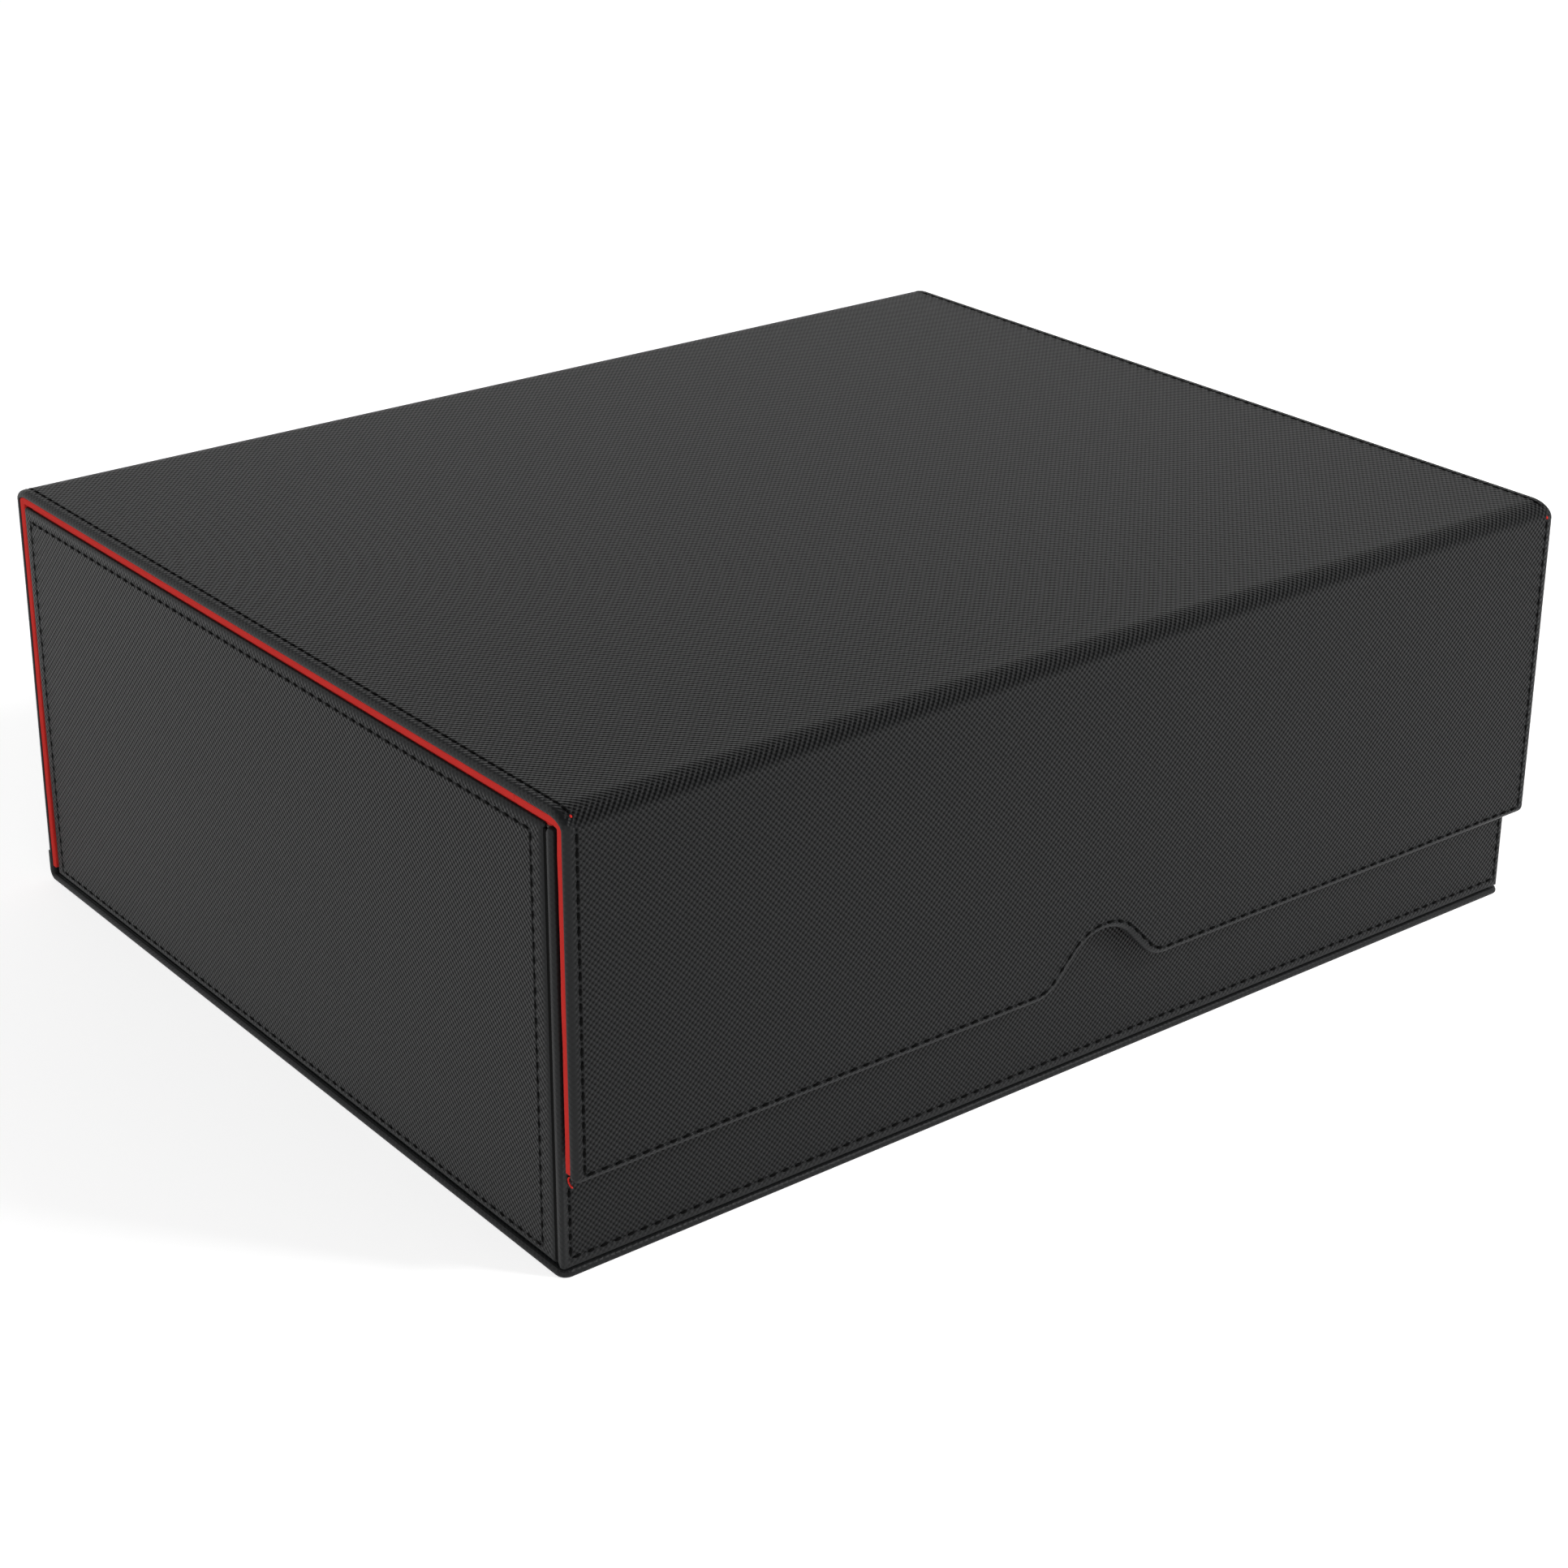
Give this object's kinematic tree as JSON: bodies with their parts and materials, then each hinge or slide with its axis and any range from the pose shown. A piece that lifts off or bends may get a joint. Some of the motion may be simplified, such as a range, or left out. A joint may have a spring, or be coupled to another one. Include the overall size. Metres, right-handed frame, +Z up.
{
  "type": "card storage box",
  "caption": "Low leather-covered card storage box with a lid hinged along the back, a magnetic front flap with a finger notch, and a lined tray with partitions.",
  "frame": {"origin": "middle of the rest face, on the surface that the box stands on", "axes": "+X runs along the width to the box's right, +Y from the front with the flap to the hinged back, +Z up"},
  "size_m": [0.34, 0.278, 0.125],
  "materials": {
    "black_leather": "satin woven grain",
    "greyboard": "matte",
    "red_microfibre": "matte nap",
    "plated_magnet": "satin"
  },
  "bodies": {
    "base": {"bottom_cover": "black_leather", "bottom_board": "greyboard", "back_cover": "black_leather", "back_board": "greyboard", "back_lining": "red_microfibre", "heel_fold": "black_leather", "tray_front_facing": "black_leather", "tray_left_facing": "black_leather", "tray_right_facing": "black_leather", "tray_front_board": "greyboard", "tray_back_board": "greyboard", "tray_left_board": "greyboard", "tray_right_board": "greyboard", "tray_floor_board": "greyboard", "tray_magnet_left": "plated_magnet", "tray_magnet_right": "plated_magnet", "tray_front_lining": "red_microfibre", "tray_back_lining": "red_microfibre", "tray_left_lining": "red_microfibre", "tray_right_lining": "red_microfibre", "tray_floor_lining": "red_microfibre", "partition_1": "red_microfibre", "partition_2": "red_microfibre", "partition_3": "red_microfibre"},
    "lid": {"lid_cover": "black_leather", "lid_board": "greyboard", "lid_lining": "red_microfibre", "lid_hinge_leather": "black_leather", "lid_hinge_lining": "red_microfibre"},
    "flap": {"flap_cover": "black_leather", "flap_board": "greyboard", "flap_lining": "red_microfibre", "flap_magnet_left": "plated_magnet", "flap_magnet_right": "plated_magnet", "flap_hinge_leather": "black_leather", "flap_hinge_lining": "red_microfibre"}
  },
  "joints": [
    {"name": "lid_hinge", "type": "hinge", "parent": "base", "child": "lid", "pos_m": [0, 0.139, 0.125], "axis": [-1, 0, 0], "range_deg": [0, 195], "deforming": ["lid_hinge_leather", "lid_hinge_lining"]},
    {"name": "flap_hinge", "type": "hinge", "parent": "lid", "child": "flap", "pos_m": [0, -0.139, 0.125], "axis": [-1, 0, 0], "range_deg": [0, 100], "deforming": ["flap_hinge_leather", "flap_hinge_lining"]}
  ]
}
